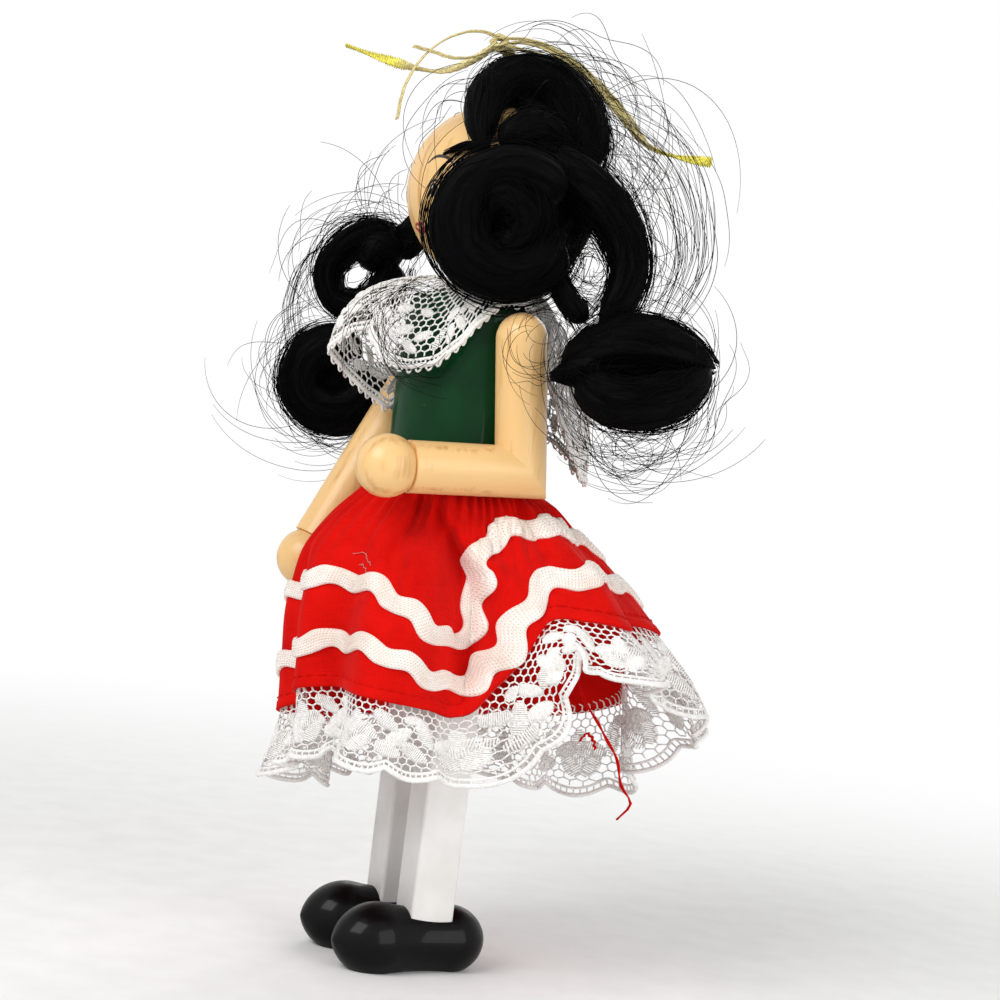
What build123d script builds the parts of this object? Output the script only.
"""Clothespin doll: a ball head, a turned torso, dowel arms and a slotted flat clothespin for legs.

The doll stands on the floor at Z = 0 and faces -Y, with its left side at +X.
The origin is on the floor between its shoes, under the axis of the torso.
Sizes are in millimetres.
"""

import os
from math import cos, radians, sin, tan

from build123d import *

# --- Fits ---------------------------------------------------------------------------------
GLUE_GAP = 0.05
RUNNING_GAP = 0.06
ARM_GAP = 0.3
STRAND_GAP = 0.1

# --- Torso, neck and head -----------------------------------------------------------------
TORSO_BASE = 61.0
TORSO_HEIGHT = 32.0
TORSO_END_DIAMETER = 20.0
TORSO_BELLY_DIAMETER = 21.4
TORSO_EDGE_RADIUS = 1.2
HEAD_DIAMETER = 25.0
NECK_LENGTH = 2.5
NECK_DIAMETER = 6.35
NECK_DEPTH_IN_TORSO = 8.0
NECK_DEPTH_IN_HEAD = 9.0
NECK_CHAMFER = 0.4

TORSO_TOP = TORSO_BASE + TORSO_HEIGHT
HEAD_BASE = TORSO_TOP + NECK_LENGTH
HEAD_CENTRE = HEAD_BASE + HEAD_DIAMETER / 2

# --- Clothespin legs ----------------------------------------------------------------------
PRONG_TOP_WIDTH = 6.4
PRONG_FOOT_WIDTH = 6.0
PRONG_THICKNESS = 6.35
SLOT_WIDTH = 5.4
CROWN_HEIGHT = 11.0
TENON_WIDTH = 12.0
TENON_LENGTH = 11.0
PRONG_EDGE_RADIUS = 0.5

PIN_SHOULDER = TORSO_BASE - GLUE_GAP
SLOT_TOP = TORSO_BASE - CROWN_HEIGHT

# --- Shoes --------------------------------------------------------------------------------
SHOE_WIDTH = 9.8
SHOE_AXIS_HEIGHT = 4.0
SHOE_DIP_DEPTH = 0.5
TOE_REACH = 13.5
HEEL_REACH = 9.4
BALL_OF_FOOT = 5.6
DIP_OF_SHOE = 1.2
HEEL_FULLNESS = 3.6
TOE_ROUNDING = 2.0
TOE_BLUNTNESS = 0.76
HEEL_ROUNDING = 1.5
HEEL_BLUNTNESS = 0.72
HEEL_SHARE = 0.96
TOE_OUT = 4.0
SOCKET_FLOOR = 3.0
SOCKET_PLAY = 0.1

# --- Arms ---------------------------------------------------------------------------------
ARM_DIAMETER = 7.0
HAND_DIAMETER = 8.4
SHOULDER_DROP = 5.7
UPPER_ARM_LENGTH = 17.9
FOREARM_LENGTH = 19.3
LEFT_SWING = -7.0
LEFT_FOREARM_DROP = 4.0
RIGHT_ARM_LENGTH = 37.2
RIGHT_SWING = 26.0
PEG_DIAMETER = 3.2
PEG_DEPTH_IN_TORSO = 6.0
PEG_DEPTH_IN_ARM = 4.6
WRIST_PEG_DIAMETER = 3.6
WRIST_PEG_LENGTH = 2.6
WRIST_SHARE = 0.72

ARM_OUT = TORSO_BELLY_DIAMETER / 2 + ARM_GAP + ARM_DIAMETER / 2
ARM_INNER_SIDE = ARM_OUT - ARM_DIAMETER / 2
SHOULDER_HEIGHT = TORSO_TOP - SHOULDER_DROP
ARM_TOP = SHOULDER_HEIGHT + ARM_DIAMETER / 2

# --- Skirt --------------------------------------------------------------------------------
# Each fold: the angle of its crest from the doll's left side, the crest's radius, and how
# deep the valley after it is.
FOLDS = (
    (28, 31.0, 4.5),
    (66, 31.0, 4.5),
    (104, 29.0, 4.0),
    (140, 26.0, 3.5),
    (172, 23.0, 3.2),
    (200, 21.6, 6.9),
    (257, 22.3, 3.0),
    (284, 23.5, 3.2),
    (314, 24.5, 8.5),
)
LIFTED_SIDE = 65.0
# Each level: how far it is below the skirt's top, and the share of the fold's reach there on
# the side that hangs and on the side that is lifted.
SKIRT_LEVELS = (
    (0.0, 0.0, 0.0),
    (4.1, 0.52, 0.27),
    (9.6, 0.90, 0.62),
    (16.6, 1.0, 0.98),
    (26.6, 0.97, 1.34),
    (35.0, 0.94, 1.42),
    (45.6, 1.30, 1.62),
)
WAIST_RISE = 5.6
WAIST_RADIUS = 11.8
CLOTH_THICKNESS = 0.7
SKIRT_SPAN = 70.0
LOW_HEM_DROP = 35.0
FRONT_HEM_DROP = 28.4
HIGH_HEM_DROP = 16.1
HEM_DIRECTION = 30.0
FRONT_RISE_START = -13.0
FRONT_RISE_END = -4.0
LIFT_START = 13.5
LIFT_END = 23.0
HEM_BEND_RADIUS = 5.0
LACE_DROP_LOW = 7.8
LACE_DROP_HIGH = 11.5
RICRAC_WIDTH = 2.8
RICRAC_THICKNESS = 0.6
LOWER_RICRAC_RISE = 6.3
UPPER_RICRAC_RISE = 13.6
RICRAC_LIFTED_SHARE = 0.86
ELASTIC_HEIGHT = 2.0
ELASTIC_THICKNESS = 0.5
ELASTIC_DROP = 1.0

SKIRT_TOP = TORSO_BASE + WAIST_RISE
HEM_LOW = SKIRT_TOP - LOW_HEM_DROP
HEM_FRONT = SKIRT_TOP - FRONT_HEM_DROP
HEM_HIGH = SKIRT_TOP - HIGH_HEM_DROP

# --- Lace collar --------------------------------------------------------------------------
COLLAR_LOBES = (
    (15, 12.6, 1.2),
    (72, 17.5, 3.0),
    (122, 16.5, 2.8),
    (180, 12.6, 2.0),
    (242, 20.0, 4.0),
    (290, 17.0, 3.2),
    (335, 12.8, 0.8),
)
# Each level: its height above the torso's top, and the share of the lobe's reach there.
COLLAR_LEVELS = ((2.2, 0.0), (1.4, 0.58), (-1.4, 0.85), (-9.0, 1.0))
COLLAR_NECK_RADIUS = 4.2
COLLAR_THICKNESS = 0.6
COLLAR_LIFT = 1.9

# --- Hair ---------------------------------------------------------------------------------
# Places in the hair are measured from the centre of the head, and an arc of hair is its
# start and its turn.
CAP_THICKNESS = 1.5
HAIRLINE = -0.8
NAPE_DROP = 10.0
CURL_FACING = 65.0
TOP_CURL_CENTRE = (2.1, 4.5, 9.0)
TOP_CURL_BEND = 5.7
TOP_CURL_THICKNESS = 9.0
TOP_CURL_ARC = (-15.0, 215.0)
LEFT_ROLL_CENTRE = (13.5, -3.0, -4.4)
LEFT_ROLL_BEND = 6.0
LEFT_ROLL_THICKNESS = 10.4
LEFT_RINGLET_CENTRE = (20.0, 8.2, -9.2)
LEFT_RINGLET_BEND = 6.0
LEFT_RINGLET_THICKNESS = 4.2
LEFT_RINGLET_ARC = (80.0, -185.0)
LEFT_CURL_CENTRE = (27.0, 12.8, -24.0)
LEFT_CURL_BEND = 6.9
LEFT_CURL_THICKNESS = 8.6
LEFT_CURL_TIP = 60.0
RIGHT_UPPER_CENTRE = (-22.0, -8.4, -12.6)
RIGHT_UPPER_BEND = 4.1
RIGHT_UPPER_THICKNESS = 5.6
RIGHT_ROOT_ROUTE = ((-10.5, -1.6, -4.4), (-16.5, -3.8, -3.8), (-20.6, -5.4, -8.6))
RIGHT_ROOT_THICKNESS = 4.8
RIGHT_LOWER_CENTRE = (-26.0, -10.6, -27.4)
RIGHT_LOWER_BEND = 4.6
RIGHT_LOWER_THICKNESS = 8.0
LOOSE_THICKNESS = 2.0
LEFT_LOOSE_ROUTE = ((4.3, 5.7, 14.0), (17.2, 19.0, 4.0), (21.9, 16.2, -18.0))
LEFT_LOOSE_WIDTH = 8.0
RIGHT_LOOSE_ROUTE = ((-23.0, -11.5, -6.6), (-28.2, -18.4, -15.5), (-28.4, -17.0, -25.5))
RIGHT_LOOSE_WIDTH = 5.0

# --- Hanging cord -------------------------------------------------------------------------
# Its knot and the corners of its two tails, measured from the centre of the head.
CORD_DIAMETER = 1.2
KNOT_DIAMETER = 3.4
KNOT_CENTRE = (-2.4, -1.2, 21.7)
LEFT_TAIL_ROUTE = (
    (-4.9, 2.8, 13.3),
    (-5.2, 2.6, 17.2),
    (-4.2, 1.4, 20.6),
    (-2.5, -1.6, 21.6),
    (-3.6, -4.3, 18.8),
    (-5.4, -8.1, 16.5),
    (-7.3, -12.1, 16.8),
    (-9.2, -16.1, 17.6),
    (-11.4, -20.8, 18.8),
)
RIGHT_TAIL_ROUTE = (
    (-4.0, 5.2, 13.2),
    (-4.6, 4.9, 16.9),
    (-4.0, 2.4, 20.0),
    (-2.3, -0.4, 22.2),
    (-0.2, 3.9, 22.4),
    (1.1, 8.6, 20.6),
    (2.8, 12.6, 17.6),
    (4.4, 15.9, 14.0),
    (5.9, 18.9, 10.2),
    (7.9, 23.4, 8.8),
    (9.9, 28.4, 8.9),
)
BEND_SHARE = 0.45

os.makedirs("parts", exist_ok=True)


def save(piece, name):
    """Labels a finished piece and writes it under its own name."""
    piece.label = name
    export_step(piece, f"parts/{name}.step")


def around(radius, angle):
    """Gives the point at a radius and an angle about the torso's axis."""
    return (radius * cos(radians(angle)), radius * sin(radians(angle)))


def from_head(place):
    """Gives the point at a place that is measured from the centre of the head."""
    return Vector(*place) + Vector(0, 0, HEAD_CENTRE)


def torso_radius(height):
    """Gives the radius of the torso's bulging side at a height."""
    half_height = TORSO_HEIGHT / 2
    from_middle = (height - TORSO_BASE - half_height) / half_height
    bulge = (TORSO_BELLY_DIAMETER - TORSO_END_DIAMETER) / 2
    return TORSO_BELLY_DIAMETER / 2 - bulge * from_middle**2


# ==========================================================================================
# Head, neck and torso
# ==========================================================================================
with BuildPart() as head_ball:
    with Locations((0, 0, HEAD_CENTRE)):
        Sphere(HEAD_DIAMETER / 2)
    with BuildSketch(Plane.XY.offset(HEAD_BASE)):
        Circle(NECK_DIAMETER / 2 + GLUE_GAP)
    extrude(amount=NECK_DEPTH_IN_HEAD + GLUE_GAP, mode=Mode.SUBTRACT)
save(head_ball.part, "head_ball")

with BuildPart() as neck_dowel:
    with BuildSketch(Plane.XY.offset(TORSO_TOP - NECK_DEPTH_IN_TORSO)):
        Circle(NECK_DIAMETER / 2)
    extrude(amount=NECK_DEPTH_IN_TORSO + NECK_LENGTH + NECK_DEPTH_IN_HEAD)
    chamfer(neck_dowel.edges().filter_by(GeomType.CIRCLE), length=NECK_CHAMFER)
save(neck_dowel.part, "neck_dowel")

with BuildPart() as torso_barrel:
    with BuildSketch(Plane.XZ):
        with BuildLine():
            ThreePointArc(
                (TORSO_END_DIAMETER / 2, TORSO_BASE),
                (TORSO_BELLY_DIAMETER / 2, TORSO_BASE + TORSO_HEIGHT / 2),
                (TORSO_END_DIAMETER / 2, TORSO_TOP),
            )
            Polyline(
                (TORSO_END_DIAMETER / 2, TORSO_TOP),
                (0, TORSO_TOP),
                (0, TORSO_BASE),
                (TORSO_END_DIAMETER / 2, TORSO_BASE),
            )
        make_face()
    revolve(axis=Axis.Z)
    fillet(torso_barrel.edges().filter_by(GeomType.CIRCLE), radius=TORSO_EDGE_RADIUS)
    with BuildSketch(Plane.XY.offset(TORSO_TOP)):
        Circle(NECK_DIAMETER / 2 + GLUE_GAP)
    extrude(amount=-NECK_DEPTH_IN_TORSO - GLUE_GAP, mode=Mode.SUBTRACT)
    with BuildSketch(Plane.XY.offset(TORSO_BASE)):
        Rectangle(TENON_WIDTH + 2 * GLUE_GAP, PRONG_THICKNESS + 2 * GLUE_GAP)
    extrude(amount=TENON_LENGTH + GLUE_GAP, mode=Mode.SUBTRACT)
    for side in (-1, 1):
        peg_hole = Plane((side * ARM_INNER_SIDE, 0, SHOULDER_HEIGHT), z_dir=(-side, 0, 0))
        with BuildSketch(peg_hole):
            Circle(PEG_DIAMETER / 2 + GLUE_GAP)
        extrude(amount=ARM_GAP + PEG_DEPTH_IN_TORSO + GLUE_GAP, mode=Mode.SUBTRACT)
save(torso_barrel.part, "torso_barrel")

# ==========================================================================================
# Clothespin legs and shoes
# ==========================================================================================
PRONG_OUTER_TOP = SLOT_WIDTH / 2 + PRONG_TOP_WIDTH
PRONG_OUTER_FOOT = SLOT_WIDTH / 2 + PRONG_FOOT_WIDTH
PRONG_CENTRE = SLOT_WIDTH / 2 + PRONG_FOOT_WIDTH / 2

with BuildPart() as clothespin:
    with BuildSketch(Plane.XZ):
        with BuildLine():
            Polyline(
                (SLOT_WIDTH / 2, SOCKET_FLOOR),
                (PRONG_OUTER_FOOT, SOCKET_FLOOR),
                (PRONG_OUTER_TOP, PIN_SHOULDER),
                (TENON_WIDTH / 2, PIN_SHOULDER),
                (TENON_WIDTH / 2, PIN_SHOULDER + TENON_LENGTH),
                (-TENON_WIDTH / 2, PIN_SHOULDER + TENON_LENGTH),
                (-TENON_WIDTH / 2, PIN_SHOULDER),
                (-PRONG_OUTER_TOP, PIN_SHOULDER),
                (-PRONG_OUTER_FOOT, SOCKET_FLOOR),
                (-SLOT_WIDTH / 2, SOCKET_FLOOR),
                (-SLOT_WIDTH / 2, SLOT_TOP),
            )
            ThreePointArc(
                (-SLOT_WIDTH / 2, SLOT_TOP),
                (0, SLOT_TOP + SLOT_WIDTH / 2),
                (SLOT_WIDTH / 2, SLOT_TOP),
            )
            Line((SLOT_WIDTH / 2, SLOT_TOP), (SLOT_WIDTH / 2, SOCKET_FLOOR))
        make_face()
    extrude(amount=PRONG_THICKNESS / 2, both=True)
    straight_edges = clothespin.edges().filter_by(GeomType.LINE)
    prong_edges = straight_edges.filter_by(lambda edge: edge.length > SLOT_TOP - SHOE_WIDTH)
    fillet(prong_edges, radius=PRONG_EDGE_RADIUS)
save(clothespin.part, "clothespin")


def shoe(side):
    """Turns a bean-shaped shoe about its length, flattens its sole and cuts the prong's socket."""
    radius = SHOE_WIDTH / 2
    dip = radius - SHOE_DIP_DEPTH
    toe = (-TOE_REACH, 0)
    toe_shoulder = (TOE_ROUNDING - TOE_REACH, dip * TOE_BLUNTNESS)
    ball = (-BALL_OF_FOOT, radius)
    full_heel = (HEEL_FULLNESS, radius * HEEL_SHARE)
    heel_shoulder = (HEEL_REACH - HEEL_ROUNDING, dip * HEEL_BLUNTNESS)
    heel = (HEEL_REACH, 0)
    ankle = Plane((side * PRONG_CENTRE, 0, SHOE_AXIS_HEIGHT), x_dir=(0, 1, 0), z_dir=(1, 0, 0))
    with BuildPart() as turned:
        with BuildSketch(ankle):
            with BuildLine():
                ThreePointArc(toe, toe_shoulder, ball)
                ThreePointArc(ball, (-DIP_OF_SHOE, dip), full_heel)
                ThreePointArc(full_heel, heel_shoulder, heel)
                Line(heel, toe)
            make_face()
        revolve(axis=Axis((side * PRONG_CENTRE, 0, SHOE_AXIS_HEIGHT), (0, 1, 0)))
        split(bisect_by=Plane.XY, keep=Keep.TOP)
    ankle_axis = Axis((side * PRONG_CENTRE, 0, 0), (0, 0, 1))
    return turned.part.rotate(ankle_axis, side * TOE_OUT)


def socketed_shoe(name, side):
    """Cuts the prong's square socket into a shoe and writes it."""
    blank = shoe(side)
    with BuildPart() as finished:
        add(blank)
        with BuildSketch(Plane.XY.offset(SOCKET_FLOOR - GLUE_GAP)):
            with Locations((side * PRONG_CENTRE, 0)):
                Rectangle(PRONG_FOOT_WIDTH + 2 * SOCKET_PLAY, PRONG_THICKNESS + 2 * GLUE_GAP)
        extrude(amount=SHOE_WIDTH, mode=Mode.SUBTRACT)
    save(finished.part, name)


socketed_shoe("left_shoe", 1)
socketed_shoe("right_shoe", -1)

# ==========================================================================================
# Arms
# ==========================================================================================
LEFT_SHOULDER = Vector(ARM_OUT, 0, SHOULDER_HEIGHT)
RIGHT_SHOULDER = Vector(-ARM_OUT, 0, SHOULDER_HEIGHT)


def swing(angle):
    """Gives the direction of an arm that is swung forward from hanging by an angle."""
    return Vector(0, -sin(radians(angle)), -cos(radians(angle)))


UPPER_ARM_WAY = swing(LEFT_SWING)
FOREARM_WAY = swing(90 - LEFT_FOREARM_DROP)
RIGHT_ARM_WAY = swing(RIGHT_SWING)
LEFT_ELBOW = LEFT_SHOULDER + UPPER_ARM_WAY * UPPER_ARM_LENGTH
LEFT_HAND = LEFT_ELBOW + FOREARM_WAY * FOREARM_LENGTH
RIGHT_HAND = RIGHT_SHOULDER + RIGHT_ARM_WAY * RIGHT_ARM_LENGTH
MITRE_WAY = (UPPER_ARM_WAY + FOREARM_WAY).normalized()
WRIST_SETBACK = HAND_DIAMETER / 2 * WRIST_SHARE


def dowel(start, way, length, mode=Mode.ADD):
    """Adds a round stick of the arms' diameter."""
    with BuildSketch(Plane(start, x_dir=(1, 0, 0), z_dir=way)) as section:
        Circle(ARM_DIAMETER / 2)
    extrude(section.sketch, amount=length, mode=mode)


def peg_bore(side):
    """Cuts the blind hole that turns on the shoulder peg."""
    with BuildSketch(Plane((side * ARM_INNER_SIDE, 0, SHOULDER_HEIGHT), z_dir=(side, 0, 0))) as bore:
        Circle(PEG_DIAMETER / 2 + RUNNING_GAP)
    extrude(bore.sketch, amount=PEG_DEPTH_IN_ARM + ARM_GAP, mode=Mode.SUBTRACT)


def wrist_peg(wrist, way, gap, mode):
    """Adds or cuts the short peg that the hand is glued on."""
    with BuildSketch(Plane(wrist, x_dir=(1, 0, 0), z_dir=way)) as section:
        Circle(WRIST_PEG_DIAMETER / 2 + gap)
    extrude(section.sketch, amount=WRIST_PEG_LENGTH + gap, mode=mode)


def hand(name, centre, way):
    """Makes a ball hand with a flat seat and a blind hole for the wrist peg."""
    wrist = centre - way * WRIST_SETBACK
    with BuildPart() as ball:
        with Locations(centre):
            Sphere(HAND_DIAMETER / 2)
        split(bisect_by=Plane(wrist, z_dir=way), keep=Keep.TOP)
        wrist_peg(wrist, way, GLUE_GAP, Mode.SUBTRACT)
    save(ball.part, name)


with BuildPart() as left_upper_arm:
    with Locations(LEFT_SHOULDER):
        Sphere(ARM_DIAMETER / 2)
    dowel(LEFT_SHOULDER, UPPER_ARM_WAY, UPPER_ARM_LENGTH + ARM_DIAMETER)
    split(bisect_by=Plane(LEFT_ELBOW, z_dir=MITRE_WAY), keep=Keep.BOTTOM)
    peg_bore(1)
save(left_upper_arm.part, "left_upper_arm")

with BuildPart() as left_forearm:
    dowel(LEFT_ELBOW - FOREARM_WAY * ARM_DIAMETER, FOREARM_WAY,
          ARM_DIAMETER + FOREARM_LENGTH - WRIST_SETBACK)
    split(bisect_by=Plane(LEFT_ELBOW, z_dir=MITRE_WAY), keep=Keep.TOP)
    wrist_peg(LEFT_HAND - FOREARM_WAY * WRIST_SETBACK, FOREARM_WAY, 0, Mode.ADD)
save(left_forearm.part, "left_forearm")
hand("left_hand", LEFT_HAND, FOREARM_WAY)

with BuildPart() as right_arm:
    with Locations(RIGHT_SHOULDER):
        Sphere(ARM_DIAMETER / 2)
    dowel(RIGHT_SHOULDER, RIGHT_ARM_WAY, RIGHT_ARM_LENGTH - WRIST_SETBACK)
    peg_bore(-1)
    wrist_peg(RIGHT_HAND - RIGHT_ARM_WAY * WRIST_SETBACK, RIGHT_ARM_WAY, 0, Mode.ADD)
save(right_arm.part, "right_arm")
hand("right_hand", RIGHT_HAND, RIGHT_ARM_WAY)


def shoulder_peg(name, side):
    """Makes the peg that is glued in the torso and carries an arm."""
    inner_end = ARM_INNER_SIDE - ARM_GAP - PEG_DEPTH_IN_TORSO
    with BuildPart() as peg:
        with BuildSketch(Plane((side * inner_end, 0, SHOULDER_HEIGHT), z_dir=(side, 0, 0))):
            Circle(PEG_DIAMETER / 2)
        extrude(amount=PEG_DEPTH_IN_TORSO + ARM_GAP + PEG_DEPTH_IN_ARM)
    save(peg.part, name)


shoulder_peg("left_shoulder_pin", 1)
shoulder_peg("right_shoulder_pin", -1)


# ==========================================================================================
# Skirt, its braid and its lace
# ==========================================================================================
def gathered_ring(crests_and_valleys):
    """Draws a closed ring of arcs that bulges out at each crest and in at each valley."""
    count = len(crests_and_valleys)
    middles = []
    for i in range(count):
        here = Vector(*crests_and_valleys[i])
        following = Vector(*crests_and_valleys[(i + 1) % count])
        middles.append((here + following) / 2)
    for i in range(count):
        ThreePointArc(middles[i - 1], Vector(*crests_and_valleys[i]), middles[i])


def fold_points(folds, radius_at):
    """Lists a crest and a valley for each fold, with the radius from a function."""
    points = []
    for i, (angle, crest, depth) in enumerate(folds):
        next_angle, next_crest, _ = folds[(i + 1) % len(folds)]
        turn = (next_angle - angle) % 360
        valley = (crest + next_crest) / 2 - depth
        points.append(around(radius_at(angle, crest), angle))
        points.append(around(radius_at(angle + turn / 2, valley), angle + turn / 2))
    return points


def skirt_solid(growth, mode=Mode.ADD):
    """Lofts the skirt's whole bell, with its surface moved out by the growth."""
    rings = []
    for drop, hanging_share, lifted_share in SKIRT_LEVELS:

        def radius_at(angle, reach):
            lifted = (1 + cos(radians(angle - LIFTED_SIDE))) / 2
            share = hanging_share + (lifted_share - hanging_share) * lifted
            return WAIST_RADIUS + (reach - WAIST_RADIUS) * share + growth

        with BuildSketch(Plane.XY.offset(SKIRT_TOP - drop)) as ring:
            with BuildLine():
                gathered_ring(fold_points(FOLDS, radius_at))
            make_face()
        rings.append(ring.sketch)
    loft(sections=rings, mode=mode)


HEM_PLANE = Plane(
    (0, 0, 0),
    x_dir=(cos(radians(HEM_DIRECTION)), sin(radians(HEM_DIRECTION)), 0),
    z_dir=(sin(radians(HEM_DIRECTION)), -cos(radians(HEM_DIRECTION)), 0),
)


def hem_line(low, front, high):
    """Draws the line of the hem from the side, rising in two steps to the lifted side."""
    return FilletPolyline(
        (-SKIRT_SPAN, low),
        (FRONT_RISE_START, low),
        (FRONT_RISE_END, front),
        (LIFT_START, front),
        (LIFT_END, high),
        (SKIRT_SPAN, high),
        radius=HEM_BEND_RADIUS,
    )


def keep_between(bottom_heights, top_heights):
    """Keeps only the cloth between two lines that run along the hem."""
    with BuildSketch(HEM_PLANE) as band:
        with BuildLine():
            bottom = hem_line(*bottom_heights)
            top = hem_line(*top_heights)
            Line(bottom @ 1, top @ 1)
            Line(bottom @ 0, top @ 0)
        make_face()
    extrude(band.sketch, amount=SKIRT_SPAN, both=True, mode=Mode.INTERSECT)


def above_hem(low_rise, high_rise):
    """Gives the hem's three heights, moved up by a rise."""
    return HEM_LOW + low_rise, HEM_FRONT + low_rise, HEM_HIGH + high_rise


with BuildPart() as skirt:
    skirt_solid(0)
    skirt_solid(-CLOTH_THICKNESS, mode=Mode.SUBTRACT)
    keep_between(above_hem(0, 0), above_hem(SKIRT_SPAN, SKIRT_SPAN))
save(skirt.part, "skirt")

with BuildPart() as hem_lace:
    skirt_solid(0)
    skirt_solid(-CLOTH_THICKNESS, mode=Mode.SUBTRACT)
    keep_between(above_hem(-LACE_DROP_LOW, -LACE_DROP_HIGH), above_hem(0, 0))
save(hem_lace.part, "hem_lace")


def ricrac(name, rise):
    """Makes a braid that lies on the skirt, parallel to its hem."""
    with BuildPart() as braid:
        skirt_solid(GLUE_GAP + RICRAC_THICKNESS)
        skirt_solid(GLUE_GAP, mode=Mode.SUBTRACT)
        low_edge = rise - RICRAC_WIDTH / 2
        high_edge = rise + RICRAC_WIDTH / 2
        keep_between(
            above_hem(low_edge, low_edge * RICRAC_LIFTED_SHARE),
            above_hem(high_edge, high_edge * RICRAC_LIFTED_SHARE),
        )
    save(braid.part, name)


ricrac("lower_ricrac", LOWER_RICRAC_RISE)
ricrac("upper_ricrac", UPPER_RICRAC_RISE)

ELASTIC_TOP = SKIRT_TOP - ELASTIC_DROP
with BuildPart() as waist_elastic:
    with BuildSketch(Plane.XY.offset(ELASTIC_TOP)):
        Circle(torso_radius(ELASTIC_TOP) + GLUE_GAP + ELASTIC_THICKNESS)
        Circle(torso_radius(ELASTIC_TOP) + GLUE_GAP, mode=Mode.SUBTRACT)
    extrude(amount=-ELASTIC_HEIGHT)
save(waist_elastic.part, "waist_elastic")


# ==========================================================================================
# Lace collar
# ==========================================================================================
def collar_solid(growth, mode=Mode.ADD):
    """Lofts the ruffle from the neck out over the shoulders."""
    rings = []
    for rise, share in COLLAR_LEVELS:

        def radius_at(angle, reach):
            return COLLAR_NECK_RADIUS + (reach - COLLAR_NECK_RADIUS) * share + growth

        with BuildSketch(Plane.XY.offset(TORSO_TOP + rise)) as ring:
            with BuildLine():
                gathered_ring(fold_points(COLLAR_LOBES, radius_at))
            make_face()
        rings.append(ring.sketch)
    loft(sections=rings, mode=mode)


with BuildPart() as lace_collar:
    collar_solid(COLLAR_THICKNESS)
    collar_solid(0, mode=Mode.SUBTRACT)
    for side in (-1, 1):
        with BuildSketch(Plane.XY.offset(ARM_TOP + COLLAR_LIFT)):
            with Locations((side * (ARM_INNER_SIDE - ARM_GAP + SKIRT_SPAN / 2), 0)):
                Rectangle(SKIRT_SPAN, SKIRT_SPAN)
        extrude(amount=-SKIRT_SPAN, mode=Mode.SUBTRACT)
save(lace_collar.part, "lace_collar")

# ==========================================================================================
# Hair
# ==========================================================================================
CAP_INNER_RADIUS = HEAD_DIAMETER / 2 + GLUE_GAP
CAP_OUTER_RADIUS = CAP_INNER_RADIUS + CAP_THICKNESS

with BuildPart() as hair_cap:
    with Locations((0, 0, HEAD_CENTRE)):
        Sphere(CAP_OUTER_RADIUS)
        Sphere(CAP_INNER_RADIUS, mode=Mode.SUBTRACT)
    split(bisect_by=Plane((0, HAIRLINE, 0), z_dir=(0, 1, 0)), keep=Keep.TOP)
    split(bisect_by=Plane.XY.offset(HEAD_CENTRE - NAPE_DROP), keep=Keep.TOP)
save(hair_cap.part, "hair_cap")


def curl_plane(centre, tip=0):
    """Gives a curl's plane, which faces out and a little forward, tipped up by an angle."""
    facing = radians(CURL_FACING)
    lean = radians(tip)
    outward = Vector(sin(facing), -cos(facing), 0)
    normal = outward * cos(lean) + Vector(0, 0, 1) * sin(lean)
    return Plane(from_head(centre), x_dir=(cos(facing), sin(facing), 0), z_dir=normal)


def lock(plane, bend_radius, thickness, arc=(0, 360), mode=Mode.ADD):
    """Sweeps a round lock of hair along an arc, with rounded ends."""
    with BuildLine(plane):
        bend = CenterArc((0, 0), bend_radius, *arc)
    with BuildSketch(Plane(bend @ 0, z_dir=bend % 0)) as section:
        Circle(thickness / 2)
    sweep(section.sketch, path=bend, mode=mode)
    if abs(arc[1]) < 360:
        with Locations(bend @ 0, bend @ 1):
            Sphere(thickness / 2, mode=mode)


def clear_of_head():
    """Cuts away what would lie inside the head and the hair on it."""
    with Locations((0, 0, HEAD_CENTRE)):
        Sphere(CAP_OUTER_RADIUS + STRAND_GAP, mode=Mode.SUBTRACT)


def clear_of_lock(centre, bend_radius, thickness, arc=(0, 360), tip=0):
    """Cuts away what would lie inside a lock of hair."""
    grown = thickness + 2 * STRAND_GAP
    lock(curl_plane(centre, tip), bend_radius, grown, arc, Mode.SUBTRACT)


with BuildPart() as hair_top_curl:
    lock(curl_plane(TOP_CURL_CENTRE), TOP_CURL_BEND, TOP_CURL_THICKNESS, TOP_CURL_ARC)
    clear_of_head()
save(hair_top_curl.part, "hair_top_curl")

with BuildPart() as left_hair_roll:
    lock(curl_plane(LEFT_ROLL_CENTRE), LEFT_ROLL_BEND, LEFT_ROLL_THICKNESS)
    clear_of_head()
save(left_hair_roll.part, "left_hair_roll")

with BuildPart() as left_ringlet:
    ringlet_plane = curl_plane(LEFT_RINGLET_CENTRE)
    lock(ringlet_plane, LEFT_RINGLET_BEND, LEFT_RINGLET_THICKNESS, LEFT_RINGLET_ARC)
save(left_ringlet.part, "left_ringlet")

with BuildPart() as left_lower_curl:
    lock(curl_plane(LEFT_CURL_CENTRE, tip=LEFT_CURL_TIP), LEFT_CURL_BEND, LEFT_CURL_THICKNESS)
save(left_lower_curl.part, "left_lower_curl")

with BuildPart() as right_upper_curl:
    lock(curl_plane(RIGHT_UPPER_CENTRE), RIGHT_UPPER_BEND, RIGHT_UPPER_THICKNESS)
save(right_upper_curl.part, "right_upper_curl")

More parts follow.
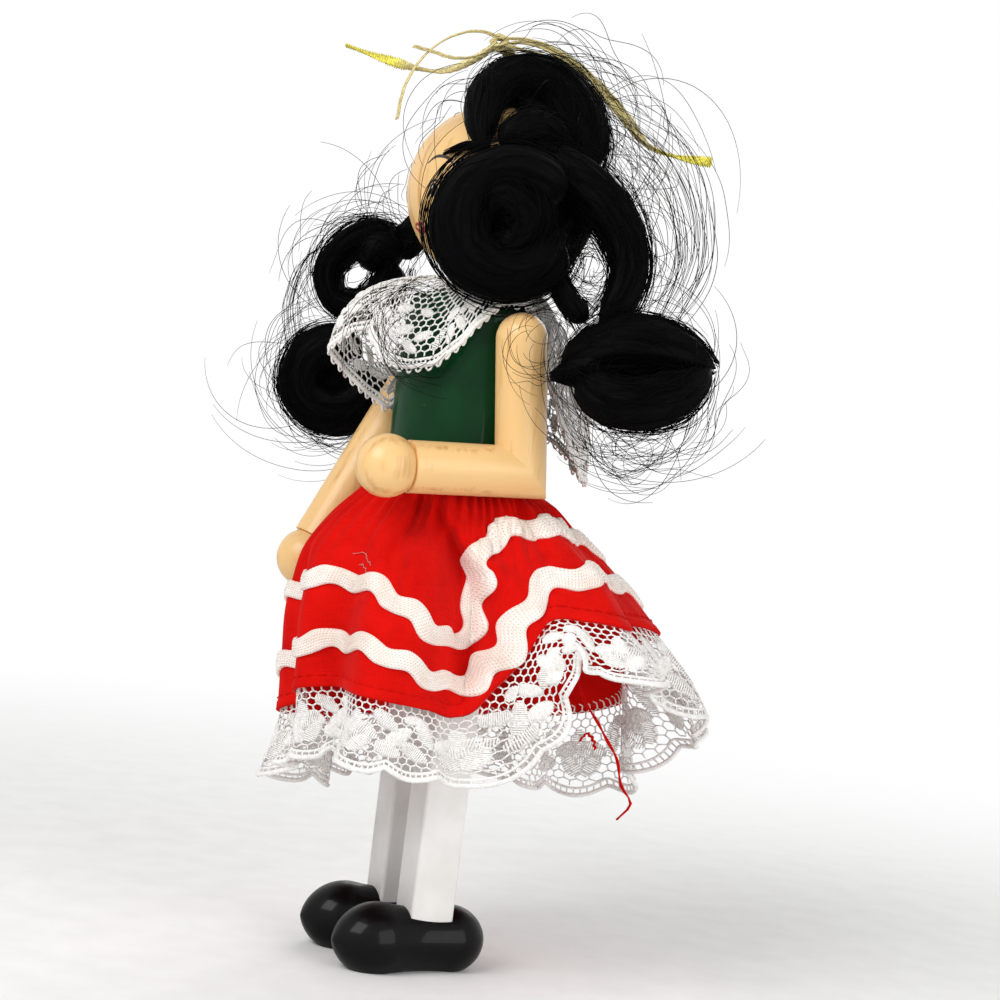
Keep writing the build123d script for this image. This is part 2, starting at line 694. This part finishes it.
with BuildPart() as right_hair_root:
    with BuildLine():
        root = ThreePointArc(*[from_head(place) for place in RIGHT_ROOT_ROUTE])
    with BuildSketch(Plane(root @ 0, z_dir=root % 0)):
        Circle(RIGHT_ROOT_THICKNESS / 2)
    sweep(path=root)
    with Locations(root @ 1):
        Sphere(RIGHT_ROOT_THICKNESS / 2)
    clear_of_head()
    clear_of_lock(RIGHT_UPPER_CENTRE, RIGHT_UPPER_BEND, RIGHT_UPPER_THICKNESS)
save(right_hair_root.part, "right_hair_root")

with BuildPart() as right_lower_curl:
    lock(curl_plane(RIGHT_LOWER_CENTRE), RIGHT_LOWER_BEND, RIGHT_LOWER_THICKNESS)
save(right_lower_curl.part, "right_lower_curl")


def loose_hank(route, width):
    """Sweeps a flat hank of loose hair along an arc, its width in the plane of the arc."""
    with BuildLine():
        bend = ThreePointArc(*[from_head(place) for place in route])
    across = (bend @ 1 - bend @ 0).cross(bend @ 0.5 - bend @ 0).cross(bend % 0)
    with BuildSketch(Plane(bend @ 0, x_dir=across, z_dir=bend % 0)) as section:
        Ellipse(width / 2, LOOSE_THICKNESS / 2)
    sweep(section.sketch, path=bend)


with BuildPart() as left_loose_hair:
    loose_hank(LEFT_LOOSE_ROUTE, LEFT_LOOSE_WIDTH)
    clear_of_head()
    clear_of_lock(TOP_CURL_CENTRE, TOP_CURL_BEND, TOP_CURL_THICKNESS, TOP_CURL_ARC)
    clear_of_lock(LEFT_CURL_CENTRE, LEFT_CURL_BEND, LEFT_CURL_THICKNESS, tip=LEFT_CURL_TIP)
save(left_loose_hair.part, "left_loose_hair")

with BuildPart() as right_loose_hair:
    loose_hank(RIGHT_LOOSE_ROUTE, RIGHT_LOOSE_WIDTH)
    clear_of_lock(RIGHT_UPPER_CENTRE, RIGHT_UPPER_BEND, RIGHT_UPPER_THICKNESS)
    clear_of_lock(RIGHT_LOWER_CENTRE, RIGHT_LOWER_BEND, RIGHT_LOWER_THICKNESS)
save(right_loose_hair.part, "right_loose_hair")

# ==========================================================================================
# Hanging cord
# ==========================================================================================
def bend_radii(route):
    """Gives each corner the largest arc that its two runs allow."""
    radii = []
    for before, corner, after in zip(route, route[1:], route[2:]):
        run_in = Vector(*corner) - Vector(*before)
        run_out = Vector(*after) - Vector(*corner)
        half_turn = radians(run_in.get_angle(run_out)) / 2
        radii.append(BEND_SHARE * min(run_in.length, run_out.length) / tan(half_turn))
    return radii


def cord(name, route):
    """Sweeps the round cord along its route and writes it."""
    radii = bend_radii(route)
    with BuildPart() as tail:
        with BuildLine():
            path = FilletPolyline(*[from_head(place) for place in route], radius=radii)
        with BuildSketch(Plane(path @ 0, z_dir=path % 0)) as section:
            Circle(CORD_DIAMETER / 2)
        sweep(section.sketch, path=path)
    plain_volume = section.sketch.area * path.length
    print(name, "length", round(path.length, 2), "radii", [round(r, 1) for r in radii])
    print(name, "volume over section x length", round(tail.part.volume / plain_volume, 4))
    save(tail.part, name)


cord("gold_cord_left", LEFT_TAIL_ROUTE)
cord("gold_cord_right", RIGHT_TAIL_ROUTE)

with BuildPart() as cord_knot:
    with Locations(from_head(KNOT_CENTRE)):
        Sphere(KNOT_DIAMETER / 2)
save(cord_knot.part, "cord_knot")
